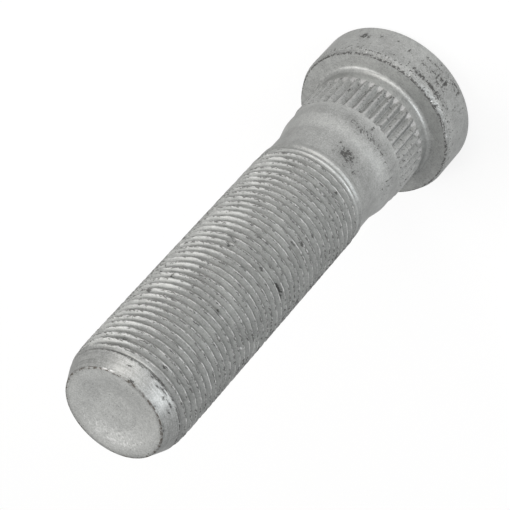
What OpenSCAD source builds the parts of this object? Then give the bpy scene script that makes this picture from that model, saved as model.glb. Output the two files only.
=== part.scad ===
// A wheel bolt of the press-in kind. It is forged and rolled in one piece: a round head,
// a knurled seat that grips the hub flange, a plain collar, a waisted neck and a long
// right-handed fine thread. The bolt stands on the back of its head. The origin is at
// the centre of that back, and the tip points up along Z.

/* [Head] */
// Diameter of the head
head_d = 30.6; // [27.6:0.2:36]
// Thickness of the head, from its back to the seat
head_t = 8.5; // [5:0.5:14]
// Radius of the rounded back edge
back_edge_r = 0.5; // [0.2:0.1:1.5]
// Width of the bevel round the seat, across the seat
rim_bevel_w = 0.45; // [0.1:0.05:0.8]
// Height of that bevel, down the side of the head
rim_bevel_h = 1.1; // [0.4:0.1:2]
// Radius of the hollow fillet where the shank meets the seat
seat_fillet_r = 1.0; // [0.4:0.1:1.6]

/* [Knurl] */
// Diameter of the collar, which is also that of the blank the knurl is rolled on
collar_d = 22.6; // [22.2:0.1:24]
// Plain shank between the seat and the knurl
knurl_gap = 2.3; // [2:0.1:5]
// Length of the knurl
knurl_len = 8.25; // [5:0.25:14]
// Number of teeth round the knurl
knurl_teeth = 40; // [30:1:48]
// Height of the teeth above the blank
tooth_rise = 0.28; // [0.2:0.02:0.4]
// Depth of the grooves below the blank
groove_sink = 0.34; // [0.2:0.02:0.45]
// Width left flat on the crest of a tooth
crest_w = 0.26; // [0.22:0.02:0.4]
// Width of the flat bottom of a groove
root_w = 0.16; // [0.1:0.02:0.3]
// Length of the slope on which a groove runs out beside the head
groove_ramp_len = 1.5; // [0.8:0.1:3]
// Length of the steep slope at the collar end of a groove
groove_wall_len = 0.15; // [0.05:0.05:0.5]
// Length of the slope at the head end of a tooth
tooth_ramp_len = 0.6; // [0.2:0.1:1.2]
// Turn of the first groove from the X axis, in degrees
knurl_turn = 7; // [0:0.5:8.5]

/* [Collar and neck] */
// Length of the plain collar between the knurl and the shoulder
collar_len = 2.7; // [1:0.1:8]
// Length of the sloped shoulder between the collar and the neck
shoulder_len = 4.26; // [3:0.02:8]
// Radius that rounds both ends of the shoulder
shoulder_r = 4; // [1:0.5:8]
// Diameter of the neck, which is that of the blank the thread is rolled on
neck_d = 21.1; // [20.2:0.1:21.4]
// Length of the neck, from the shoulder to the band under the thread
neck_len = 5.69; // [4:0.01:12]
// Amount by which the neck swells up to the step under the band
neck_swell = 0.13; // [0:0.01:0.15]
// Length of the swelling
neck_swell_len = 2.4; // [1:0.1:3]
// Length of the step from the neck up to the band
band_step_len = 0.3; // [0.1:0.05:0.8]
// Diameter of the smooth band where the thread ends
band_d = 21.7; // [21.4:0.1:21.9]
// Length of the band
band_len = 0.9; // [0.4:0.1:3]

/* [Thread] */
// Outer diameter of the thread
thread_d = 22; // [21.9:0.05:22.1]
// Length of the thread, from the band to the tip
thread_len = 61.9; // [30:0.1:90]
// Length of the lead-in cone at the tip
lead_in_len = 4.3; // [2:0.1:8]
// Diameter of the end face
tip_d = 18.5; // [17.4:0.1:20]
// Width of the bevel round the end face
tip_bevel = 0.15; // [0.05:0.05:0.4]
// Diameter of the shallow dish in the end face
dish_d = 16.6; // [12:0.1:17]
// Diameter of the flat floor of the dish
dish_floor_d = 6; // [2:0.5:10]
// Depth of the dish
dish_depth = 0.5; // [0.1:0.05:1.5]

/* [Hidden] */
$fn = 144;

// Steps along each rounded stretch of the outline
fillet_steps = 8;
blend_steps = 6;
dish_steps = 12;
// How far a cutter reaches past the surface that it cuts
cut_over = 0.1;
// The two arcs of the shoulder never take up more than this share of their full reach
blend_share = 0.98;

head_r = head_d / 2;
collar_r = collar_d / 2;
neck_r = neck_d / 2;
band_r = band_d / 2;
thread_r = thread_d / 2;
tip_r = tip_d / 2;
dish_r = dish_d / 2;
dish_floor_r = dish_floor_d / 2;
crest_r = collar_r + tooth_rise;
root_r = collar_r - groove_sink;

// Heights above the back of the head
seat_z = head_t;
knurl_z = seat_z + knurl_gap;
collar_z = knurl_z + knurl_len;
shoulder_z = collar_z + collar_len;
neck_z = shoulder_z + shoulder_len;
band_z = neck_z + neck_len;
thread_z = band_z + band_len;
lead_in_z = thread_z + thread_len - lead_in_len;
tip_z = thread_z + thread_len;

// The shoulder is a cone between two arcs of one radius. Its slope follows from how far
// it climbs, how long it is and that radius.
climb = collar_r - neck_r;
blend_r = min(shoulder_r, blend_share * (shoulder_len * shoulder_len + climb * climb) / (4 * climb));
blend_reach = sqrt(pow(shoulder_len, 2) + pow(2 * blend_r - climb, 2));
shoulder_a = asin(2 * blend_r / blend_reach) - atan2(2 * blend_r - climb, shoulder_len);

// A groove is a V with a flat bottom. Its half width grows by this much for each
// millimetre that it rises.
crest_pitch = 2 * PI * crest_r / knurl_teeth;
flank_slope = (crest_pitch - crest_w - root_w) / 2 / (crest_r - root_r);
groove_top_r = crest_r + cut_over;
ramp_slope = groove_ramp_len / groove_sink;
wall_slope = groove_wall_len / groove_sink;

// Points along an arc, from angle a0 to angle a1
function arc(cx, cy, r, a0, a1, steps) =
    [for (i = [0 : steps]) let (a = a0 + (a1 - a0) * i / steps) [cx + r * cos(a), cy + r * sin(a)]];

// Height of the end face at a radius: a flat floor, then a soft wall up to the rim
function dish_z(r) =
    let (t = (r - dish_floor_r) / (dish_r - dish_floor_r))
    tip_z - dish_depth * (1 + cos(180 * t)) / 2;

function head_outline() = concat(
    [[0, 0]],
    arc(head_r - back_edge_r, back_edge_r, back_edge_r, -90, 0, fillet_steps),
    [[head_r, seat_z - rim_bevel_h], [head_r - rim_bevel_w, seat_z]]
);

function seat_outline() = arc(
    collar_r + seat_fillet_r, seat_z + seat_fillet_r, seat_fillet_r, 270, 180, fillet_steps
);

function knurl_outline() = [
    [collar_r, knurl_z],
    [crest_r, knurl_z + tooth_ramp_len],
    [crest_r, collar_z],
    [collar_r, collar_z]
];

function shoulder_outline() = concat(
    arc(collar_r - blend_r, shoulder_z, blend_r, 0, shoulder_a, blend_steps),
    arc(neck_r + blend_r, neck_z, blend_r, 180 + shoulder_a, 180, blend_steps)
);

function neck_outline() = [
    [neck_r, band_z - band_step_len - neck_swell_len],
    [neck_r + neck_swell, band_z - band_step_len],
    [band_r, band_z],
    [band_r, thread_z]
];

function thread_outline() = [
    [thread_r, thread_z],
    [thread_r, lead_in_z],
    [tip_r, tip_z - tip_bevel],
    [tip_r - tip_bevel, tip_z]
];

function end_face_outline() = concat(
    [for (i = [dish_steps : -1 : 0])
        let (r = dish_floor_r + (dish_r - dish_floor_r) * i / dish_steps) [r, dish_z(r)]],
    [[0, tip_z - dish_depth]]
);

// The bolt as it is before its knurl is rolled, turned from one outline
module blank() {
    rotate_extrude()
        polygon(concat(
            head_outline(),
            seat_outline(),
            knurl_outline(),
            shoulder_outline(),
            neck_outline(),
            thread_outline(),
            end_face_outline()
        ));
}

// The V of a groove, seen from the tip, with X pointing out of the bolt
module groove_section() {
    top_w = root_w + 2 * flank_slope * (groove_top_r - root_r);
    polygon([
        [root_r, -root_w / 2],
        [groove_top_r, -top_w / 2],
        [groove_top_r, top_w / 2],
        [root_r, root_w / 2]
    ]);
}

// The same groove seen from the side: a long slope beside the head, a steep one at the collar
module groove_side() {
    out = groove_top_r - root_r;
    polygon([
        [root_r, knurl_z + groove_ramp_len],
        [groove_top_r, knurl_z + groove_ramp_len - ramp_slope * out],
        [groove_top_r, collar_z - groove_wall_len + wall_slope * out],
        [root_r, collar_z - groove_wall_len]
    ]);
}

// One groove as a solid: what the two views have in common
module groove() {
    intersection() {
        translate([0, 0, seat_z])
            linear_extrude(shoulder_z - seat_z)
                groove_section();
        rotate([90, 0, 0])
            linear_extrude(2 * crest_pitch, center = true)
                groove_side();
    }
}

module wheel_bolt() {
    color([0.66, 0.67, 0.66])
        difference() {
            blank();
            for (i = [0 : knurl_teeth - 1])
                rotate([0, 0, knurl_turn + 360 * i / knurl_teeth])
                    groove();
        }
}

wheel_bolt();
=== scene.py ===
"""The looks of a press-in wheel bolt: its cut thread, its knurl, its matt silver-grey coat,
and the nicks, specks and dirt that it has picked up.

Lengths are in millimetres, and MM turns them into metres. The bolt stands on the back of
its head with its tip up. A place on it is given by how far below the tip it lies and by
how many degrees round from the front it is. The front faces -Y, and the degrees are
counted toward -X, which lies at the lower right of the picture.
"""

import math

import bpy
import numpy as np
from mathutils import Matrix, Vector


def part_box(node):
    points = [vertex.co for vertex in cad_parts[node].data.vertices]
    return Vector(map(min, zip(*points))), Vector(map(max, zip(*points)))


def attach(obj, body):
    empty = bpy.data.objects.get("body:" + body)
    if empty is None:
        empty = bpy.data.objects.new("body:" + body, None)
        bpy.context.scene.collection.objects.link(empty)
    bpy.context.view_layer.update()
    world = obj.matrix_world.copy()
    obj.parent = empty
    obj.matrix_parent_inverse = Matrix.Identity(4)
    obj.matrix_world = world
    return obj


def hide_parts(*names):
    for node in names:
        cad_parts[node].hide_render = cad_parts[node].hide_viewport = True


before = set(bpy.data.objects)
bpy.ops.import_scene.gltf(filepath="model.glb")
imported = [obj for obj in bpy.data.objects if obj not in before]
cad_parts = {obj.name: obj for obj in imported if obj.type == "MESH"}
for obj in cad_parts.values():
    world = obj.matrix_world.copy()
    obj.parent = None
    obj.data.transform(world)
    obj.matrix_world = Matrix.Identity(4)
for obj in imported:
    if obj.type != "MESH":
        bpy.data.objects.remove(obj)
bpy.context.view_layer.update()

MM = 0.001
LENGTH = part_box("wheel_bolt")[1][2] / MM

# The camera stands in front of the bolt and above it. It is rolled, so that the bolt lies
# across the picture with its tip at the lower left.
CAMERA_BACK = 345.65
CAMERA_HEIGHT = 341.3
CAMERA_TILT = 49.887
CAMERA_ROLL = 221.814
CAMERA_LENS = 187.02
CAMERA_SENSOR = 36
CAMERA_NEAR = 10

# Lamps: soft panels that all aim at one point, in metres
LAMP_WIDTH = 0.40
LAMP_TALL = 0.24
LAMP_AIM = 0.05
LAMP_AWAY = 0.6

# Each lamp: its name, with left and right as in the picture, degrees round from the front
# and up from level, watts, and how warm its light is
LAMPS = (
    ("high_back", -120, 60, 1.98, 0.016),
    ("high_left", -40, 36, 0.90, 0.032),
    ("high_front", 0, 36, 1.00, 0.0),
    ("low_left", -40, 12, 0.90, 0.032),
    ("low_front", 0, 12, 0.25, 0.0),
    ("low_right", 40, 12, 1.58, -0.034),
)

# Brightness of the sky all round
SKY = 0.535

# Floor: half its side in metres, and how much of what the camera sees of it is plain white
FLOOR_HALF = 1.5
FLOOR_GLOW = 0.8

# Head. The side stays a hair inside the solid, whose facets cut across its curve. The mesh
# is fine near the rim of the seat, as far down the side and in over the seat as given here.
HEAD_R = 15.285
SEAT_Z = 8.5
BACK_EDGE_R = 0.5
BEVEL_W = 0.45
BEVEL_H = 1.1
FILLET_R = 1.0
BACK_RING_R = 7.0
BACK_OUTER_RING_R = 13.0
RIM_FINE_H = 3.0
RIM_FINE_W = 1.0

# Knurl. The lip is the metal that rolling pushed up where the teeth end at the collar. The
# side of a tooth is never narrower than the hair given last.
COLLAR_R = 11.3
KNURL_Z = 10.8
KNURL_TOP_Z = 19.05
TEETH = 40
TOOTH_RISE = 0.28
GROOVE_SINK = 0.34
CREST_W = 0.26
ROOT_W = 0.16
GROOVE_RAMP = 1.5
GROOVE_WALL = 0.15
TOOTH_RAMP = 0.6
KNURL_TURN = math.radians(7)
TOOTH_END = 0.85
LIP_RISE = 0.06
LIP_END = 0.35
TOOTH_SIDE_MIN = 0.03

# Collar, shoulder, neck, and the band where the thread ends
SHOULDER_Z = 21.75
SHOULDER_R = 4.0
NECK_Z = 26.01
NECK_R = 10.55
NECK_FOOT = 0.8
NECK_SWELL = 0.13
NECK_SWELL_LEN = 2.4
BAND_Z = 31.7
BAND_STEP = 0.3
BAND_EDGE_R = 0.12
BAND_R = 10.85
BAND_TOP_Z = 32.2
BAND_TOP_R = 10.88
BAND_GROOVE_R = 10.62
BAND_GAP = 0.02

# Thread. Its crests are flat, and they grow out of the lead-in cone at the tip. Its rows
# of mesh stop a little inside that cone, and a row that comes close to either end joins it.
THREAD_Z = 32.6
THREAD_R = 11.0
ROOT_R = 10.08
PITCH = 1.5
THREAD_START = 0.50
CREST_FLAT = PITCH / 8
FLANK = math.radians(30)
RUN_IN = 3.06
RUN_IN_R = 10.5
RUN_IN_GROWTH = 1.2
RUN_IN_FADE = 1.6
RUN_IN_EARLY = 0.2
RUN_OUT_FADE = 1.3
RUN_OUT_LATE = 0.1
THREAD_TOP_Z = LENGTH - RUN_IN + 0.3
ROW_SNAP = 0.03

# Tip
TIP_R = 9.24
TIP_BEVEL = 0.15
DISH_R = 8.3
DISH_FLOOR_R = 3.0
DISH_FLOOR_RINGS = (2, 1)
DISH_DEPTH = 0.5

# Columns of the mesh to each tooth and round the thread, rows to each turn of the thread
# as shares of its pitch, and the angle in degrees from which an edge is sharp
TOOTH_COLUMNS = 8
THREAD_COLUMNS = 210
THREAD_ROWS = (0.0625, 0.17, 0.29, 0.4167, 0.5833, 0.76, 0.9375)
SHARP_ANGLE = 32

# Random values: how many a table holds each way, and how many cells go round the bolt
TABLE_CELLS = 512
ROUND_CELLS = 96

# Wear that was rolled, knocked or scraped into the metal, as depths
CREST_WEAR = 0.12
CREST_RAGGED = 0.07
RIM_CHIPS = 0.14
RIM_CRUMPLE = 0.30
COAT_LUMPS = 0.012

# Where that wear is. The thread is worn outside CREST_FOOT_R. The rim of the seat, which
# is given by how far below the tip it lies, is chipped where the noise rises above
# RIM_WHOLE, and crumpled between two places in degrees round from the front. The back and
# the end face take no marks, and the side of the head no lumps.
CREST_FOOT_R = 10.8
RIM_BELOW = 86.5
RIM_REACH = 0.9
RIM_DEEP = 0.8
RIM_WHOLE = 0.35
CRUMPLE_FROM = 2
CRUMPLE_TO = 34
CRUMPLE_SOFT = 8
BACK_WHOLE = 0.05
FACE_WHOLE = 0.6
SIDE_WHOLE = 0.02

# How ragged the edges of the marks are, as a share of their size
MARK_RAGGED = 0.35

# Marks: millimetres below the tip, degrees round from the front, length along the bolt,
# width round it, depth of the dent, and tone from -1 for dark to 1 for bare metal
HEAD_MARKS = (
    (91.2, 15.0, 1.4, 0.65, 0.12, -1.0),
    (91.6, 19.0, 2.3, 0.75, 0.18, -1.0),
    (91.2, 11.8, 1.7, 0.55, 0.08, -0.9),
    (91.5, 6.0, 4.5, 6.0, 0.0, -0.37),
    (93.0, 24.0, 2.2, 5.0, 0.0, -0.5),
    (93.2, 12.0, 1.6, 4.0, 0.0, -0.4),
    (90.0, 15.0, 3.4, 6.5, 0.0, -0.35),
    (90.5, 40.0, 4.0, 5.0, 0.0, -0.2),
    (88.3, 26.0, 1.4, 5.0, 0.0, -0.45),
    (88.4, -10.0, 1.4, 9.0, 0.0, -0.3),
    (90.6, -1.8, 0.7, 0.7, 0.05, -0.8),
    (92.6, -1.2, 0.5, 0.5, 0.05, -0.7),
    (92.5, 6.0, 0.7, 0.7, 0.05, -0.8),
    (91.9, -24.6, 0.5, 0.5, 0.04, -0.8),
    (91.3, -14.4, 0.6, 0.6, 0.04, -0.7),
    (91.4, -49.5, 1.7, 1.5, 0.0, -0.75),
    (91.2, -45.5, 1.3, 0.9, 0.0, -0.6),
    (91.75, -37.0, 0.6, 0.9, 0.0, -0.65),
    (89.9, 36.0, 1.8, 0.4, 0.04, -0.6),
    (88.0, 2.0, 1.0, 3.5, 0.03, -0.65),
    (88.1, 12.5, 0.9, 2.6, 0.03, -0.8),
    (87.9, 19.5, 1.0, 1.8, 0.05, -0.8),
    (93.7, 8.0, 0.3, 9.0, 0.03, -0.5),
)
SHANK_MARKS = (
    (66.2, 0.5, 2.8, 3.2, 0.0, -0.7),
    # The next three paint shade, soft and broad, over the front of the neck round the smudge
    (66.2, 2.0, 3.6, 5.2, 0.0, -0.42),
    (65.2, 8.0, 4.0, 7.0, 0.0, -0.26),
    (66.0, 24.0, 3.5, 7.0, 0.0, -0.18),
    (67.6, -11.0, 0.4, 0.4, 0.0, -0.7),
    (65.0, -11.0, 0.4, 0.4, 0.0, -0.7),
    (68.1, 3.0, 0.4, 0.5, 0.0, -0.7),
    (64.6, 17.5, 0.8, 0.6, 0.0, -0.6),
    (71.6, -22.8, 0.6, 0.6, 0.06, 1.0),
    (72.4, -4.0, 0.8, 1.6, 0.0, -0.55),
    (72.3, 9.0, 2.4, 11.0, 0.0, -0.4),
    (73.4, -14.0, 1.2, 4.0, 0.0, -0.3),
    (70.4, 58.0, 2.6, 5.0, 0.0, -0.3),
    (72.0, 6.0, 0.5, 0.7, 0.0, -0.5),
    (74.25, 3.6, 0.35, 0.5, 0.0, -0.8),
    (73.9, 9.0, 0.35, 0.4, 0.0, -0.7),
    (72.0, 51.0, 1.6, 0.3, 0.03, -0.6),
    (73.2, 44.0, 1.2, 0.3, 0.03, -0.6),
    (73.3, 18.0, 1.3, 0.25, 0.02, -0.35),
    (73.3, 24.0, 1.3, 0.25, 0.02, -0.35),
    (80.0, -37.6, 0.5, 0.5, 0.03, -0.9),
    (76.6, -0.6, 0.45, 0.5, 0.0, -0.8),
    (76.5, 6.6, 0.45, 0.5, 0.0, -0.8),
    (80.4, -1.0, 0.4, 0.4, 0.0, -0.8),
    (81.75, 25.0, 0.4, 0.4, 0.0, -0.8),
    (81.4, 43.0, 0.5, 0.5, 0.0, -0.8),
    (77.75, 25.0, 0.4, 0.4, 0.0, -0.7),
    (76.6, -20.0, 0.4, 0.5, 0.0, -0.7),
    (79.2, -20.0, 0.4, 0.5, 0.0, -0.7),
    (78.9, 34.0, 0.5, 0.4, 0.0, 1.0),
)
THREAD_MARKS = (
    (6.3, -40.5, 0.9, 1.3, 0.12, -0.9),
    (23.3, -48.6, 0.35, 1.2, 0.05, -0.8),
    (18.9, -57.6, 0.35, 1.2, 0.05, -0.8),
    (25.5, -67.5, 5.0, 0.6, 0.03, -0.5),
    (22.6, -3.0, 0.5, 2.0, 0.05, -0.8),
    (21.8, 8.4, 0.35, 1.2, 0.05, -0.8),
    (10.7, -6.0, 0.35, 1.2, 0.05, -0.7),
    (16.3, 2.4, 0.35, 1.2, 0.05, -0.7),
    (5.7, 7.0, 0.35, 1.2, 0.05, -0.7),
    (5.0, 42.0, 1.6, 0.6, 0.05, -0.6),
    (35.9, -24.5, 0.4, 0.9, 0.12, 0.7),
    (35.3, -21.0, 0.4, 0.7, 0.12, 0.6),
    (35.6, -22.5, 1.0, 1.4, 0.1, -0.4),
    (34.0, -24.0, 0.4, 0.8, 0.06, -0.8),
    (31.4, -0.5, 0.4, 1.9, 0.05, -0.9),
    (31.3, 7.5, 0.3, 1.4, 0.0, 0.6),
    (35.4, 42.0, 0.9, 3.2, 0.25, -1.0),
    (57.2, -34.0, 0.9, 1.2, 0.18, -0.7),
    (58.2, 18.0, 0.45, 0.8, 0.05, -0.75),
    (44.8, 25.0, 0.35, 1.2, 0.06, -0.9),
    (53.9, 3.6, 0.35, 1.2, 0.06, -0.8),
    (47.9, 28.0, 0.35, 1.2, 0.06, -0.8),
    (40.4, 23.0, 0.35, 1.2, 0.06, -0.8),
    (43.2, 19.0, 0.35, 1.2, 0.06, -0.7),
    (42.1, -8.0, 0.35, 1.2, 0.06, -0.9),
    (40.4, -7.0, 0.35, 1.2, 0.06, -0.8),
    (39.0, -8.0, 0.35, 1.2, 0.06, -0.8),
    (51.0, -10.0, 0.35, 1.2, 0.06, -0.8),
    (34.2, 13.0, 0.35, 1.2, 0.06, -0.8),
    (22.3, 53.0, 0.5, 0.6, 0.0, 1.0),
    (3.2, 4.0, 0.6, 2.0, 0.05, -0.7),
    (3.3, 14.0, 0.8, 2.4, 0.05, -0.7),
    (0.3, 50.0, 0.4, 1.0, 0.04, -0.7),
    (2.0, -19.0, 0.35, 1.4, 0.04, -0.6),
    (0.3, -8.0, 0.45, 1.5, 0.06, -0.8),
    (0.4, 26.0, 0.4, 1.2, 0.05, -0.6),
    (2.7, 3.0, 0.35, 1.6, 0.04, -0.65),
    (2.4, 13.0, 0.4, 1.3, 0.04, -0.7),
    (2.7, 20.0, 0.35, 2.0, 0.04, -0.7),
    (2.2, 26.0, 0.3, 1.0, 0.03, -0.65),
    (2.5, 33.0, 0.25, 2.4, 0.03, -0.7),
    (1.7, 40.0, 0.25, 1.2, 0.03, -0.8),
    (0.3, 56.0, 0.5, 0.8, 0.05, -0.7),
    # A painted glint: a bright line along the rim of the tip
    (0.2, -34.0, 0.3, 2.6, 0.0, 0.8),
)

# How light the coat is at heights above the back of the head, against the bolt as a whole.
# Its rises along the collar's lip and on the shoulder are painted highlights.
COAT_TONES_AND_HIGHLIGHTS = (
    (0.0, 0.98),
    (7.1, 0.97),
    (7.4, 1.08),
    (7.7, 0.82),
    (8.5, 0.78),
    (8.6, 0.95),
    (9.5, 1.00),
    (10.8, 1.13),
    (11.2, 0.92),
    (19.0, 0.92),
    # A painted highlight along the lip of the collar
    (19.15, 1.04),
    (19.35, 1.04),
    (19.5, 0.91),
    (22.2, 0.91),
    # A painted highlight on the shoulder
    (22.8, 1.03),
    (24.9, 1.06),
    (25.8, 0.92),
    (27.5, 0.89),
    (31.2, 0.88),
    (31.8, 0.91),
    (32.6, 0.91),
    (33.5, 1.10),
    (89.8, 1.10),
    (90.6, 0.92),
    (91.3, 0.80),
    (91.6, 0.83),
    (94.5, 0.83),
)

# The seat and the end face have tones of their own inside these edges
SEAT_TONE = 1.02
SEAT_TONE_R = HEAD_R - BEVEL_W - 0.1
SEAT_TONE_REACH = 0.01
FACE_TONE = 1.25
FACE_TONE_R = TIP_R - 0.2
FACE_TONE_Z = LENGTH - 1

# Places that the finish tells apart, as heights above the back of the head, as radii, or
# as reaches from a middle. A pair is where a soft edge starts and where it is complete.
# The painted highlight of the end face, as bright flecks, lies on one side of it.
FACE_EDGE_Z = (LENGTH - 0.7, LENGTH - 0.55)
FACE_EDGE_R = (TIP_R - 0.04, TIP_R - 0.24)
CONE_EDGE_Z = (LENGTH - RUN_IN - 0.1, LENGTH - RUN_IN + 0.1)
CONE_FOOT_BELOW = 0.1
CONE_FOOT_REACH = (0.4, 0.05)
RIM_LINE_Z = (LENGTH - 0.3, LENGTH - 0.15)
RIM_LINE_R = (TIP_R - 0.29, TIP_R - 0.14)
TIP_RIM_Z = (LENGTH - 0.3, LENGTH - 0.1)
TIP_RIM_R = (TIP_R - 0.59, TIP_R - 0.24)
FACE_HIGHLIGHT_SIDE = (0.5, 5.4)
FACE_HIGHLIGHT_R = (DISH_R - 0.1, DISH_R - 1.5)
THREAD_LOW_Z = (THREAD_Z + 0.2, THREAD_Z + 1.2)
THREAD_HIGH_Z = (LENGTH - 2.6, LENGTH - 4.0)
KNURL_MIDDLE_Z = 14.9
KNURL_REACH = (4.15, 4.0)
RUN_OUT_Z = (KNURL_Z + 1.3, KNURL_Z + 0.8)
RUN_OUT_R = (COLLAR_R + 0.12, COLLAR_R + 0.02)
GROOVE_Z = (KNURL_Z + 1.1, KNURL_Z + 1.6)
GROOVE_R = (COLLAR_R + 0.20, COLLAR_R - 0.15)
TOOTH_R = (COLLAR_R + 0.16, COLLAR_R + 0.24)
HEAD_EDGE_Z = (SEAT_Z + 0.1, SEAT_Z - 0.1)
SEAT_RIM_BELOW = 0.15
SEAT_RIM_REACH = (0.5, 0.1)
SEAT_RIM_R = (HEAD_R - 0.8, HEAD_R - 0.5)
UNDER_RIM_LOW_Z = (SEAT_Z - 3.7, SEAT_Z - 1.5)
UNDER_RIM_HIGH_Z = (SEAT_Z - 0.9, SEAT_Z - 1.2)
BEVEL_FOOT_Z = SEAT_Z - 1.15
BEVEL_FOOT_REACH = (0.35, 0.05)
BEVEL_FOOT_R = (HEAD_R - 0.285, HEAD_R - 0.185)

# The root with its painted shade, the crest, and the notched part with its dirt and painted
# shade, as shares of the thread's pitch away from the middle of a crest
ROOT_AWAY = (0.27, 0.43)
CREST_AWAY = (0.09, 0.04)
NOTCH_AND_SHADE_AWAY = (0.26, 0.05)

# Values of the noise between which a crest turns shiny, a notch of dirt and painted shade
# shows, a fleck turns dark and a fleck turns bright, and how much dirt with painted shade and
# bareness with painted highlights add to the flecks
SHINY_NOISE = (0.48, 0.56)
NOTCH_AND_SHADE_NOISE = (0.30, 0.54)
DARK_FLECK = (0.70, 0.77)
BRIGHT_FLECK = (0.30, 0.22)
FLECK_GAIN = 0.42

# How the coated metal takes the light, and how deep its grain is
ROUGHNESS = 0.42
METALLIC = 0.6
SPECULAR = 0.2
BUMP_STRENGTH = 0.5
BUMP_DEPTH = 0.06


def smooth(t):
    """A soft step from 0 to 1."""
    t = np.clip(t, 0.0, 1.0)
    return t * t * (3 - 2 * t)


def lattice(u, v, seed, round_cells=TABLE_CELLS):
    """Smooth noise from -1 to 1, with one random value to each cell of u and v. It closes
    on itself after round_cells cells of u."""
    table = np.random.default_rng(seed).uniform(-1, 1, (TABLE_CELLS, TABLE_CELLS))
    cell_u = np.floor(u).astype(int)
    cell_v = np.floor(v).astype(int)
    share_u = smooth(u - cell_u)
    share_v = smooth(v - cell_v)
    left = cell_u % round_cells
    right = (cell_u + 1) % round_cells
    low = cell_v % TABLE_CELLS
    high = (cell_v + 1) % TABLE_CELLS
    bottom = table[left, low] * (1 - share_u) + table[right, low] * share_u
    top = table[left, high] * (1 - share_u) + table[right, high] * share_u
    return bottom * (1 - share_v) + top * share_v


def arc(cx, cz, r, a0, a1, steps):
    """Points (radius, height) along an arc from angle a0 to a1, in degrees."""
    angles = np.radians(np.linspace(a0, a1, steps + 1))
    return [(cx + r * math.cos(a), cz + r * math.sin(a)) for a in angles]


def line(start, end, steps):
    """Points (radius, height) along a straight stretch, without its first point."""
    r, z = start
    wide = end[0] - r
    tall = end[1] - z
    shares = [i / steps for i in range(1, steps + 1)]
    return [(r + wide * share, z + tall * share) for share in shares]


class Skin:
    """A closed skin made of rings that follow each other from the back to the tip."""

    def __init__(self):
        self.points = []
        self.faces = []

    def ring(self, radius, height, turns):
        """Adds one ring and returns the numbers of its points."""
        radius = np.broadcast_to(radius, turns.shape)
        height = np.broadcast_to(height, turns.shape)
        first = len(self.points)
        self.points += list(zip(radius * np.cos(turns), radius * np.sin(turns), height))
        return list(range(first, len(self.points)))

    def face(self, *corners):
        """Adds a face, unless its corners have run together."""
        kept = [c for i, c in enumerate(corners) if c != corners[i - 1]]
        if len(set(kept)) >= 3:
            self.faces.append(kept)

    def join(self, low, high):
        """Joins two rings, whose numbers of points may differ."""
        i = 0
        j = 0
        while i < len(low) or j < len(high):
            a = low[i % len(low)]
            b = high[j % len(high)]
            next_a = low[(i + 1) % len(low)]
            next_b = high[(j + 1) % len(high)]
            if len(low) == len(high):
                self.face(a, next_a, next_b, b)
                i += 1
                j += 1
            elif (i + 1) / len(low) <= (j + 1) / len(high):
                self.face(a, next_a, b)
                i += 1
            else:
                self.face(a, next_b, b)
                j += 1

    def rings(self, outline, turns, last=None):
        """Adds a ring for each point of an outline, each joined to the one before it."""
        for r, z in outline:
            ring = self.ring(r, z, turns)
            if last is not None:
                self.join(last, ring)
            last = ring
        return last


def crest_line(z):
    """Radius of the thread's crests, which grow out of the lead-in cone at the tip."""
    below = LENGTH - z
    cone = TIP_R + (RUN_IN_R - TIP_R) * below / RUN_IN
    grown = THREAD_R - (THREAD_R - RUN_IN_R) * np.exp(-(below - RUN_IN) / RUN_IN_GROWTH)
    low = BAND_GROOVE_R + (THREAD_R - BAND_GROOVE_R) * smooth((z - THREAD_Z) / PITCH)
    return np.minimum(np.where(below < RUN_IN, cone, grown), low)


def from_crest(z, turns):
    """How far along the bolt the nearest crest of the thread is."""
    phase = (z - THREAD_START) / PITCH - turns / math.tau
    return (phase - np.round(phase)) * PITCH


def thread_radius(z, turns):
    """Radius of the thread: flat crests, flanks at 30 degrees and a blunt root."""
    depth = np.maximum(0, np.abs(from_crest(z, turns)) - CREST_FLAT / 2) / math.tan(FLANK)
    depth = np.minimum(depth, THREAD_R - ROOT_R)
    fade_in = smooth((LENGTH - z - RUN_IN + RUN_IN_EARLY) / RUN_IN_FADE)
    fade_out = smooth((z - THREAD_Z - RUN_OUT_LATE) / RUN_OUT_FADE)
    return crest_line(z) - depth * fade_in * fade_out


def dish_height(r):
    """Height of the end face: a flat floor, then a soft wall up to the rim."""
    t = np.clip((r - DISH_FLOOR_R) / (DISH_R - DISH_FLOOR_R), 0, 1)
    return LENGTH - DISH_DEPTH * (1 + np.cos(np.pi * t)) / 2


def add_head(skin, turns):
    """Adds the back, the side, the bevel, the seat, and the fillet up to the shank."""
    edge = arc(HEAD_R - BACK_EDGE_R, BACK_EDGE_R, BACK_EDGE_R, -90, 0, 4)
    side_top = (HEAD_R, SEAT_Z - BEVEL_H)
    rim = (HEAD_R - BEVEL_W, SEAT_Z)
    rim_foot = (HEAD_R, SEAT_Z - RIM_FINE_H)
    rim_top = (HEAD_R - RIM_FINE_W, SEAT_Z)
    side = line(edge[-1], rim_foot, 10)
    bevel = line(rim_foot, side_top, 6) + line(side_top, rim, 4) + line(rim, rim_top, 3)
    seat = line(rim_top, (COLLAR_R + FILLET_R, SEAT_Z), 4)
    fillet = arc(COLLAR_R + FILLET_R, SEAT_Z + FILLET_R, FILLET_R, 270, 180, 6)[1:]
    centre = skin.ring(0.0, 0.0, turns[:1])[0]
    first = skin.ring(BACK_RING_R, 0.0, turns)
    for j in range(len(turns)):
        skin.face(centre, first[(j + 1) % len(turns)], first[j])
    last = skin.rings([(BACK_OUTER_RING_R, 0.0)] + edge + side, turns, first)
    between = turns + math.pi / len(turns)
    last = skin.rings(bevel, np.stack([turns, between], axis=1).ravel(), last)
    return skin.rings(seat + fillet, turns, last)


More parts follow.
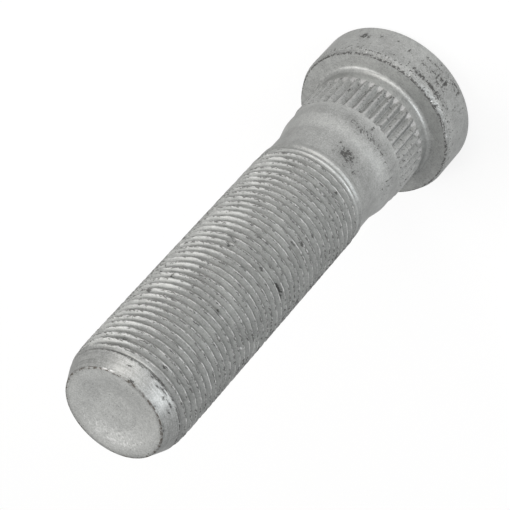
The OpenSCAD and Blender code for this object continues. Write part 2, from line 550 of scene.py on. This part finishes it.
def add_knurl(skin, last):
    """Adds V grooves between teeth. A groove runs out in a ramp beside the head and in a
    steep wall at the collar, and a tooth slopes down at both ends."""
    crest = COLLAR_R + TOOTH_RISE
    root = COLLAR_R - GROOVE_SINK
    lip = COLLAR_R + LIP_RISE
    pitch = math.tau * crest / TEETH
    slope = (pitch - CREST_W - ROOT_W) / 2 / (crest - root)
    tooth_z = (KNURL_Z, KNURL_Z + TOOTH_RAMP, KNURL_TOP_Z - TOOTH_END, KNURL_TOP_Z)
    groove_z = (KNURL_Z, KNURL_Z + GROOVE_RAMP, KNURL_TOP_Z - GROOVE_WALL, KNURL_TOP_Z)
    straight = np.linspace(groove_z[1], tooth_z[2], 6)[1:-1]
    share = np.array((1, 2 / 3, 1 / 3, 0))
    for z in sorted({*tooth_z, *groove_z, *straight}):
        top = np.interp(z, tooth_z, (COLLAR_R, crest, crest, lip))
        bottom = np.interp(z, groove_z, (COLLAR_R, root, root, lip))
        foot = ROOT_W / 2 + slope * (bottom - root)
        edge = max(ROOT_W / 2 + slope * (top - root), foot + TOOTH_SIDE_MIN)
        side = (foot + (edge - foot) * share) / pitch
        across = np.concatenate([-side, side[::-1]])
        radius = bottom + (top - bottom) * np.concatenate([share, share[::-1]])
        turns = KNURL_TURN + (np.arange(TEETH)[:, None] + across) * math.tau / TEETH
        ring = skin.ring(np.tile(radius, TEETH), z, turns.ravel())
        skin.join(last, ring)
        last = ring
    return last


def add_neck(skin, turns, thread_turns, last):
    """Adds the collar, the shoulder as a cone between two arcs, the neck and the band. The
    columns change from those of the knurl to those of the thread at the neck's foot."""
    climb = COLLAR_R - NECK_R
    length = NECK_Z - SHOULDER_Z
    reach = math.hypot(length, 2 * SHOULDER_R - climb)
    lean = math.asin(2 * SHOULDER_R / reach) - math.atan2(2 * SHOULDER_R - climb, length)
    lean = math.degrees(lean)
    collar_foot = (COLLAR_R, KNURL_TOP_Z + LIP_END)
    collar = [collar_foot] + line(collar_foot, (COLLAR_R, SHOULDER_Z), 3)
    convex = arc(COLLAR_R - SHOULDER_R, SHOULDER_Z, SHOULDER_R, 0, lean, 3)[1:]
    concave = arc(NECK_R + SHOULDER_R, NECK_Z, SHOULDER_R, 180 + lean, 180, 3)
    slope = line(convex[-1], concave[0], 4)
    last = skin.rings(collar + convex + slope + concave[1:], turns, last)
    neck_foot = (NECK_R, NECK_Z + NECK_FOOT)
    swell_foot = (NECK_R, BAND_Z - BAND_STEP - NECK_SWELL_LEN)
    swell_top = (NECK_R + NECK_SWELL, BAND_Z - BAND_STEP)
    neck = [neck_foot] + line(neck_foot, swell_foot, 4)
    swell = line(swell_foot, swell_top, 4)
    step = arc(BAND_R - BAND_EDGE_R, BAND_Z, BAND_EDGE_R, -60, 0, 3)
    band = line((BAND_R, BAND_Z), (BAND_TOP_R, BAND_TOP_Z), 2)
    band += line(band[-1], (BAND_GROOVE_R, THREAD_Z - BAND_GAP), 3)
    return skin.rings(neck + swell + step + band, thread_turns, last)


def add_thread(skin, turns, last):
    """Adds the thread as rows that climb along the helix, so that crests and roots stay
    sharp. A row that runs below the thread's start or past its end is held there."""
    low = skin.ring(thread_radius(THREAD_Z, turns), THREAD_Z, turns)
    skin.join(last, low)
    high = skin.ring(thread_radius(THREAD_TOP_Z, turns), THREAD_TOP_Z, turns)
    count = len(turns)
    rows = len(THREAD_ROWS)
    known = {}

    def point(i, j):
        if j == count:
            i += rows
            j = 0
        turn = turns[j]
        z = THREAD_START + PITCH * (i // rows + THREAD_ROWS[i % rows] + turn / math.tau)
        if z < THREAD_Z + ROW_SNAP:
            return low[j]
        if z > THREAD_TOP_Z - ROW_SNAP:
            return high[j]
        if (i, j) not in known:
            r = float(thread_radius(z, turn))
            known[i, j] = len(skin.points)
            skin.points.append((r * math.cos(turn), r * math.sin(turn), z))
        return known[i, j]

    first = int((THREAD_Z - THREAD_START) / PITCH - 2) * rows
    final = int((THREAD_TOP_Z - THREAD_START) / PITCH + 2) * rows
    for i in range(first, final):
        for j in range(count):
            skin.face(point(i, j), point(i, j + 1), point(i + 1, j + 1), point(i + 1, j))
    return high


def add_tip(skin, turns, last):
    """Adds the lead-in cone, its bevel, and the end face with its dish."""
    foot = (float(crest_line(THREAD_TOP_Z)), THREAD_TOP_Z)
    cone = line(foot, (TIP_R, LENGTH - TIP_BEVEL), 8)
    edge = arc(TIP_R - TIP_BEVEL, LENGTH - TIP_BEVEL, TIP_BEVEL, 20, 90, 3)
    dish = [(r, float(dish_height(r))) for r in np.linspace(DISH_R, DISH_FLOOR_R, 12)]
    floor = [(r, LENGTH - DISH_DEPTH) for r in DISH_FLOOR_RINGS]
    last = skin.rings(cone + edge + dish + floor, turns, last)
    centre = skin.ring(0.0, LENGTH - DISH_DEPTH, turns[:1])[0]
    for j in range(len(turns)):
        skin.face(last[j], last[(j + 1) % len(turns)], centre)


def coat_tone_and_highlight(r, z):
    """How light the coat is at each point, with its painted highlights."""
    heights, tones = zip(*COAT_TONES_AND_HIGHLIGHTS)
    tone = np.interp(z, heights, tones)
    on_seat = (abs(z - SEAT_Z) < SEAT_TONE_REACH) & (r < SEAT_TONE_R)
    on_face = (z > FACE_TONE_Z) & (r < FACE_TONE_R)
    return np.where(on_seat, SEAT_TONE, np.where(on_face, FACE_TONE, tone))


def mark_strength(mark, below, side, r):
    """How much of a mark falls on each point, with a ragged edge."""
    mark_below, mark_side, length, width = mark[:4]
    round_it = (side - mark_side + 180) % 360 - 180
    across = np.radians(round_it) * r / (width / 2)
    along = (below - mark_below) / (length / 2)
    ragged = lattice(side * 1.7, below * 2.3, seed=5) * MARK_RAGGED
    return smooth(1.5 - np.hypot(along, across) + ragged)


def wear(points):
    """Presses dents and wear into the skin. Returns it with the tone of its coat, painted
    highlights included, with how dirty it is, painted shade included, and with how bare it
    is, a painted glint included."""
    x, y, z = points.T
    r = np.hypot(x, y)
    turns = np.arctan2(y, x)
    side = (90 - np.degrees(turns)) % 360 - 180
    below = LENGTH - z
    depth = np.zeros(len(r))
    dirt_and_shade = np.zeros(len(r))
    bare_and_highlight = np.zeros(len(r))
    outside = (z > BACK_WHOLE) & ((z < LENGTH - FACE_WHOLE) | (r > DISH_R + FACE_WHOLE))
    for mark in HEAD_MARKS + SHANK_MARKS + THREAD_MARKS:
        strength = mark_strength(mark, below, side, r) * outside
        dent, mark_tone = mark[4:]
        depth = np.maximum(depth, strength * dent)
        dirt_and_shade = np.maximum(dirt_and_shade, strength * max(0, -mark_tone))
        bare_and_highlight = np.maximum(bare_and_highlight, strength * max(0, mark_tone))

    # Crests of the thread: rubbed down in places, with ragged edges
    u = turns / math.tau * ROUND_CELLS
    on_thread = smooth((z - THREAD_Z - 0.5) / PITCH) * smooth((LENGTH - RUN_IN - z) / PITCH)
    crest = smooth((r - CREST_FOOT_R) / 0.15) * on_thread
    turn_number = np.round((z - THREAD_START) / PITCH - turns / math.tau)
    rub = lattice(u, turn_number * 7.3, seed=11, round_cells=ROUND_CELLS)
    fine_rub = turn_number * 3.7 + 40
    fine_rub = lattice(u * 2, fine_rub, seed=12, round_cells=ROUND_CELLS * 2)
    rubbed = np.clip(0.6 * rub + 0.5 * fine_rub, 0, 1)
    depth = np.maximum(depth, rubbed * CREST_WEAR * crest)
    ragged = lattice(u * 2, z * 9, seed=13, round_cells=ROUND_CELLS * 2)
    shift = ragged * CREST_RAGGED * crest

    # Chips and a crumpled stretch on the rim of the seat
    rim = smooth(1 - np.abs(below - RIM_BELOW) / RIM_REACH) * (r > HEAD_R - RIM_DEEP)
    chips = lattice(u * 2, z * 1.1, seed=21, round_cells=ROUND_CELLS * 2)
    chips = np.clip(chips - RIM_WHOLE, 0, 1) / (1 - RIM_WHOLE)
    crumple = smooth((side - CRUMPLE_FROM) / CRUMPLE_SOFT)
    crumple = crumple * smooth((CRUMPLE_TO - side) / CRUMPLE_SOFT)
    waves = lattice(u * 1.5, z * 2.2, seed=22, round_cells=ROUND_CELLS * 3 // 2)
    waves = 0.5 + 0.5 * waves
    depth = np.maximum(depth, rim * (chips * RIM_CHIPS + crumple * waves * RIM_CRUMPLE))
    bare_and_highlight = np.maximum(bare_and_highlight, rim * np.clip(chips * 1.6, 0, 1) * 0.5)
    bare_and_highlight = np.maximum(bare_and_highlight, rim * crumple * smooth((0.45 - waves) / 0.3) * 0.5)
    dirt_and_shade = np.maximum(dirt_and_shade, rim * crumple * (0.35 + smooth((waves - 0.55) / 0.25) * 0.4))

    # Uneven coat
    lumps = lattice(u, z * 1.3, seed=31, round_cells=ROUND_CELLS) * COAT_LUMPS
    depth = np.maximum(depth + lumps * outside * (r < HEAD_R - SIDE_WHOLE), 0)

    scale = np.where(r > 0.1, (r - depth) / np.maximum(r, 0.1), 1)
    worn = np.stack([x * scale, y * scale, z + shift], axis=1)
    return worn, {"tone": coat_tone_and_highlight(r, z), "dirt_and_shade": dirt_and_shade, "bare_and_highlight": bare_and_highlight}


def make_bolt():
    """The whole bolt as one closed mesh."""
    skin = Skin()
    count = TEETH * TOOTH_COLUMNS
    turns = KNURL_TURN + (np.arange(count) - (TOOTH_COLUMNS - 1) / 2) * math.tau / count
    thread_turns = turns[0] + np.arange(THREAD_COLUMNS) * math.tau / THREAD_COLUMNS
    last = add_head(skin, turns)
    last = add_knurl(skin, last)
    last = add_neck(skin, turns, thread_turns, last)
    last = add_thread(skin, thread_turns, last)
    add_tip(skin, thread_turns, last)
    points, looks = wear(np.array(skin.points))
    mesh = bpy.data.meshes.new("bolt")
    mesh.from_pydata([tuple(p) for p in points * MM], [], skin.faces)
    mesh.validate()
    for name, values in looks.items():
        mesh.attributes.new(name, "FLOAT", "POINT").data.foreach_set("value", values)
    mesh.shade_smooth()
    mesh.set_sharp_from_angle(angle=math.radians(SHARP_ANGLE))
    bolt = bpy.data.objects.new("bolt", mesh)
    bpy.context.collection.objects.link(bolt)
    return bolt


class Wire:
    """A value in a material. Arithmetic on it adds Math nodes."""

    def __init__(self, finish, socket):
        self.finish = finish
        self.socket = socket

    def other(self, name):
        """Another output of the same node."""
        return Wire(self.finish, self.socket.node.outputs[name])

    def maths(self, operation, *values):
        """Adds a Math node that works on these values."""
        return self.finish.node("ShaderNodeMath", {"operation": operation}, dict(enumerate(values)))

    def __add__(self, value):
        return self.maths("ADD", self, value)

    __radd__ = __add__

    def __sub__(self, value):
        return self.maths("SUBTRACT", self, value)

    def __rsub__(self, value):
        return self.maths("SUBTRACT", value, self)

    def __mul__(self, value):
        return self.maths("MULTIPLY", self, value)

    __rmul__ = __mul__

    def __truediv__(self, value):
        return self.maths("DIVIDE", self, value)

    def __rtruediv__(self, value):
        return self.maths("DIVIDE", value, self)

    def __abs__(self):
        return self.maths("ABSOLUTE", self)

    def most(self, value):
        """The larger of the two."""
        return self.maths("MAXIMUM", self, value)

    def least(self, value):
        """The smaller of the two."""
        return self.maths("MINIMUM", self, value)


class Finish:
    """A material, and the one way in which its nodes are added."""

    def __init__(self, name):
        self.material = bpy.data.materials.new(name)
        self.material.use_nodes = True
        self.tree = self.material.node_tree
        self.tree.nodes.clear()

    def node(self, kind, settings=None, inputs=None, output=0):
        """Adds a node: first its settings, then the values or links of its sockets."""
        node = self.tree.nodes.new(kind)
        for name, value in (settings or {}).items():
            setattr(node, name, value)
        for key, value in (inputs or {}).items():
            if isinstance(value, Wire):
                self.tree.links.new(value.socket, node.inputs[key])
            else:
                node.inputs[key].default_value = value
        return Wire(self, node.outputs[output]) if node.outputs else None

    def soft_step(self, value, low, high):
        """0 below low and 1 above high, or the other way round where low is the larger."""
        settings = {"interpolation_type": "SMOOTHSTEP"}
        return self.node("ShaderNodeMapRange", settings, {0: value, 1: low, 2: high})

    def blend(self, share, one, two):
        """Two colours mixed, all of the second where the share is 1."""
        inputs = {0: share, 6: one, 7: two}
        return self.node("ShaderNodeMix", {"data_type": "RGBA"}, inputs, output=2)

    def stretch(self, vector, by):
        """A place with each of its directions scaled on its own."""
        return self.node("ShaderNodeVectorMath", {"operation": "MULTIPLY"}, {0: vector, 1: by})

    def noise(self, vector, scale=1.0, detail=2.0, roughness=0.5):
        """Noise from 0 to 1, about 0.5 on average. The scale is in grains to a millimetre."""
        inputs = {"Vector": vector, "Scale": scale, "Detail": detail, "Roughness": roughness}
        return self.node("ShaderNodeTexNoise", {}, inputs)

    def measure(self, name):
        """A measure of the coat that the mesh holds for each of its points."""
        return self.node("ShaderNodeAttribute", {"attribute_name": name}, {}, output="Fac")


def grey(tone, warmth=0.0, green=0.0):
    """A grey colour, in linear light, pulled a little toward yellow and toward green."""
    return (tone * (1 + warmth), tone * (1 + green), tone * (1 - warmth), 1)


# Colours of the coat at its darkest and lightest, of what darkens it, painted shade among it,
# and of the steel; the rubbed coat and the bare steel also serve as painted highlights
COAT_DARK = grey(0.14, 0.004, 0.02)
COAT_LIGHT = grey(0.50, 0.004, 0.02)
ROOT_SHADE = grey(0.09, 0.03)
GROOVE_SHADE = grey(0.08, 0.03)
CREST_SHADE = grey(0.10, 0.02)
RIM_SHADE = grey(0.07, 0.08)
SOIL_AND_SHADE = grey(0.045, 0.04)
TIP_SOIL = grey(0.06, 0.22)
RUBBED_COAT_AND_HIGHLIGHT = grey(0.62, 0.01)
BARE_STEEL_AND_HIGHLIGHT = grey(0.75)
GLOSS_TINT = grey(0.5)
FLOOR_GREY = grey(0.8)


def coated_steel():
    """The matt grey coat with its grain, its rubbed places, its dirt and its bare spots, with
    painted shade and painted highlights among them.
    """
    finish = Finish("coated_steel")
    place = finish.node("ShaderNodeTexCoord", {}, {}, output="Object")
    place = finish.stretch(place, (1 / MM, 1 / MM, 1 / MM))
    x = finish.node("ShaderNodeSeparateXYZ", {}, {0: place})
    y = x.other("Y")
    z = x.other("Z")
    radius = x.maths("SQRT", x * x + y * y)
    turn = x.maths("ARCTAN2", y, x)

    # Broad clouds, fine grain, flecks, and lines left by the turning and rolling
    clouds = finish.noise(place, 0.22, detail=3.0)
    patches = finish.noise(place, 0.9, detail=3.0, roughness=0.6)
    grain = finish.noise(place, 3.8, roughness=0.6)
    flecks = finish.noise(place, 2.4, detail=3.0, roughness=0.65)
    dashes = finish.stretch(place, (1.6, 1.6, 6.0))
    dashes = finish.noise(dashes, detail=3.0, roughness=0.65)
    rings = finish.noise(finish.stretch(place, (0.12, 0.12, 4.5)))
    streaks = finish.noise(finish.stretch(place, (2.2, 2.2, 0.25)), detail=3.0)
    arcs = finish.node("ShaderNodeCombineXYZ", {}, {0: radius * 5, 1: x * 0.2, 2: y * 0.2})
    arcs = finish.noise(arcs, detail=3.0, roughness=0.6)

    # Places: each is 1 on its own part of the bolt and 0 elsewhere
    on_face = finish.soft_step(z, *FACE_EDGE_Z) * finish.soft_step(radius, *FACE_EDGE_R)
    on_cone = finish.soft_step(z, *CONE_EDGE_Z) * (1 - on_face)
    on_head = finish.soft_step(z, *HEAD_EDGE_Z)
    on_thread = finish.soft_step(z, *THREAD_LOW_Z) * finish.soft_step(z, *THREAD_HIGH_Z)
    on_knurl = finish.soft_step(abs(z - KNURL_MIDDLE_Z), *KNURL_REACH)
    # The run-outs take a painted highlight, the grooves painted shade, and the tooth tops a rubbed
    # look that is partly a painted highlight
    run_out = finish.soft_step(z, *RUN_OUT_Z)
    run_out = on_knurl * run_out * finish.soft_step(radius, *RUN_OUT_R)
    in_groove = finish.soft_step(z, *GROOVE_Z)
    in_groove = on_knurl * in_groove * finish.soft_step(radius, *GROOVE_R)
    on_tooth = on_knurl * finish.soft_step(radius, *TOOTH_R)
    rim_line = finish.soft_step(z, *RIM_LINE_Z) * finish.soft_step(radius, *RIM_LINE_R)

    # Thread: painted shade in its roots, its crests rubbed bright here, partly as a painted
    # highlight, and ragged and dirty there, the ragged notches holding painted shade as well
    phase = (z - THREAD_START) / PITCH - turn / math.tau
    crest_away = abs(phase - phase.maths("ROUND", phase))
    root = finish.soft_step(crest_away + (dashes - 0.5) * 0.12, *ROOT_AWAY) * on_thread
    crest = finish.soft_step(crest_away, *CREST_AWAY) * on_thread
    shiny = finish.soft_step(finish.noise(place, 1.1), *SHINY_NOISE)
    bright_crest = crest * shiny
    dull_crest = crest * (1 - shiny)
    notch_dirt_and_shade = finish.soft_step(crest_away, *NOTCH_AND_SHADE_AWAY) * on_thread
    notch_dirt_and_shade = notch_dirt_and_shade * finish.soft_step(finish.noise(place, 0.3), *NOTCH_AND_SHADE_NOISE)

    # The coat: its tone with the clouds, the grain and the lines, between its two greys
    dirt_and_shade = finish.measure("dirt_and_shade")
    tone = finish.measure("tone")
    tone = (tone - 1) * 0.86 + 0.5 + (clouds - 0.5) * 0.3 + (patches - 0.5) * 0.35 - dirt_and_shade * 0.3
    tone = tone + (grain - 0.5) * (0.8 + on_face * 0.3) + (rings - 0.5) * (0.12 + on_cone * 0.4)
    tone = tone + (streaks - 0.5) * 0.15 + (arcs - 0.5) * on_face * 0.35
    tone = tone.most(0).least(1)
    coat = finish.blend(tone, COAT_DARK, COAT_LIGHT)

    # Shades that lie over the coat, how much of each and its colour: painted shade in the thread's
    # roots and the knurl's grooves, a painted highlight on the run-outs, and rubbed tooth tops and
    # thread crests that are partly painted highlights
    shades = (
        (root * 0.33, ROOT_SHADE),
        (in_groove * 0.03, GROOVE_SHADE),
        (on_tooth * 0.09, RUBBED_COAT_AND_HIGHLIGHT),
        (run_out * 0.40, RUBBED_COAT_AND_HIGHLIGHT),
        (bright_crest * 0.40, RUBBED_COAT_AND_HIGHLIGHT),
        (dull_crest * 0.16, CREST_SHADE),
        (rim_line * (0.20 + shiny * 0.32), RIM_SHADE),
    )
    for share, colour in shades:
        coat = finish.blend(share, coat, colour)

    # Dirt with painted shade, and bare metal with painted highlights, as flecks that thicken
    # toward the middle of each mark
    bare_and_highlight = finish.measure("bare_and_highlight")
    seat_rim = finish.soft_step(abs(z - SEAT_Z + SEAT_RIM_BELOW), *SEAT_RIM_REACH)
    seat_rim = seat_rim * finish.soft_step(radius, *SEAT_RIM_R)
    under_rim = finish.soft_step(z, *UNDER_RIM_LOW_Z) * finish.soft_step(z, *UNDER_RIM_HIGH_Z)
    bevel_foot = finish.soft_step(abs(z - BEVEL_FOOT_Z), *BEVEL_FOOT_REACH)
    bevel_foot = bevel_foot * finish.soft_step(radius, *BEVEL_FOOT_R)
    tip_rim = finish.soft_step(z, *TIP_RIM_Z) * finish.soft_step(radius, *TIP_RIM_R)
    cone_foot = abs(z - LENGTH + RUN_IN + CONE_FOOT_BELOW)
    cone_foot = finish.soft_step(cone_foot, *CONE_FOOT_REACH)
    dirt_and_shade_shares = (
        notch_dirt_and_shade * 0.6,
        seat_rim * 0.6,
        under_rim * 0.3,
        bevel_foot * 0.5,
        tip_rim * (0.20 + shiny * 0.45),
        on_face * 0.13,
        cone_foot * 0.6,
        on_head * 0.15,
        on_knurl * 0.28,
    )
    for share in dirt_and_shade_shares:
        dirt_and_shade = dirt_and_shade.most(share)
    flecks = flecks + (dashes - flecks) * on_thread.most(on_cone)
    dark = finish.soft_step(flecks + dirt_and_shade * FLECK_GAIN, *DARK_FLECK)
    soil_and_shade = finish.blend(tip_rim, SOIL_AND_SHADE, TIP_SOIL)
    coat = finish.blend(dark * (0.75 - notch_dirt_and_shade * 0.1), coat, soil_and_shade)
    # A painted highlight: bright flecks on one side of the end face's dish
    face_highlight = finish.soft_step(y - x * 0.5, *FACE_HIGHLIGHT_SIDE) * finish.soft_step(radius, *FACE_HIGHLIGHT_R)
    bare_and_highlight = bare_and_highlight.most(on_face * face_highlight * 0.38)
    bright = finish.soft_step(flecks - bare_and_highlight * FLECK_GAIN, *BRIGHT_FLECK)
    coat = finish.blend(bright * bare_and_highlight.least(1), coat, BARE_STEEL_AND_HIGHLIGHT)

    height = grain * 0.5 + patches * 0.8 + flecks * 0.5 + rings * 0.2
    bump_inputs = {"Strength": BUMP_STRENGTH, "Distance": BUMP_DEPTH * MM, "Height": height}
    bump = finish.node("ShaderNodeBump", {}, bump_inputs)
    roughness = ROUGHNESS + (grain - 0.5) * 0.3 + dark * 0.25
    shader = finish.node("ShaderNodeBsdfPrincipled", {}, {
        "Base Color": coat,
        "Metallic": METALLIC,
        "Specular IOR Level": SPECULAR,
        "Specular Tint": GLOSS_TINT,
        "Roughness": roughness,
        "Normal": bump,
    })
    finish.node("ShaderNodeOutputMaterial", {}, {"Surface": shader})
    return finish.material


def white_floor():
    """White to the camera and in reflections, but it keeps the bolt's shadow."""
    finish = Finish("white_floor")
    ray = finish.node("ShaderNodeLightPath", {}, {}, output="Is Camera Ray")
    seen = ray.most(ray.other("Is Glossy Ray")).most(ray.other("Is Transmission Ray"))
    matt = finish.node("ShaderNodeBsdfDiffuse", {}, {"Color": FLOOR_GREY})
    glow = finish.node("ShaderNodeEmission", {}, {"Strength": 1.0})
    mixed = finish.node("ShaderNodeMixShader", {}, {0: seen * FLOOR_GLOW, 1: matt, 2: glow})
    finish.node("ShaderNodeOutputMaterial", {}, {"Surface": mixed})
    return finish.material


def make_floor():
    """A flat sheet at the height on which the bolt stands."""
    low = -FLOOR_HALF
    high = FLOOR_HALF
    corners = [(low, low, 0), (high, low, 0), (high, high, 0), (low, high, 0)]
    mesh = bpy.data.meshes.new("floor")
    mesh.from_pydata(corners, [], [(0, 1, 2, 3)])
    mesh.materials.append(white_floor())
    floor = bpy.data.objects.new("floor", mesh)
    bpy.context.collection.objects.link(floor)


def make_camera():
    """The camera, moved back and up, tilted down at the bolt and then rolled."""
    data = bpy.data.cameras.new("camera")
    data.lens = CAMERA_LENS
    data.sensor_width = CAMERA_SENSOR
    data.clip_start = CAMERA_NEAR * MM
    camera = bpy.data.objects.new("camera", data)
    place = Matrix.Translation((0, -CAMERA_BACK * MM, CAMERA_HEIGHT * MM))
    tilt = Matrix.Rotation(math.radians(CAMERA_TILT), 4, "X")
    roll = Matrix.Rotation(math.radians(CAMERA_ROLL), 4, "Z")
    camera.matrix_world = place @ tilt @ roll
    bpy.context.collection.objects.link(camera)
    bpy.context.scene.camera = camera


def make_lamp(name, side, height, power, warmth):
    """A soft lamp: degrees round from the front and up from level, then watts."""
    data = bpy.data.lights.new(name, "AREA")
    data.shape = "RECTANGLE"
    data.energy = power
    data.size = LAMP_WIDTH
    data.size_y = LAMP_TALL
    data.color = (1 + warmth, 1, 1 - warmth)
    lamp = bpy.data.objects.new(name, data)
    level = math.cos(math.radians(height))
    away = Vector((
        -math.sin(math.radians(side)) * level,
        -math.cos(math.radians(side)) * level,
        math.sin(math.radians(height)),
    ))
    lamp.location = Vector((0, 0, LAMP_AIM)) + away * LAMP_AWAY
    lamp.rotation_euler = away.to_track_quat("Z", "Y").to_euler()
    bpy.context.collection.objects.link(lamp)


make_camera()
bolt = make_bolt()
bolt.data.materials.append(coated_steel())
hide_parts("wheel_bolt")
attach(bolt, "root")
make_floor()

for lamp in LAMPS:
    make_lamp(*lamp)

world = bpy.data.worlds.new("world")
bpy.context.scene.world = world
world.use_nodes = True
world.node_tree.nodes["Background"].inputs["Color"].default_value = (SKY, SKY, SKY, 1)
bpy.context.scene.view_settings.view_transform = "Standard"
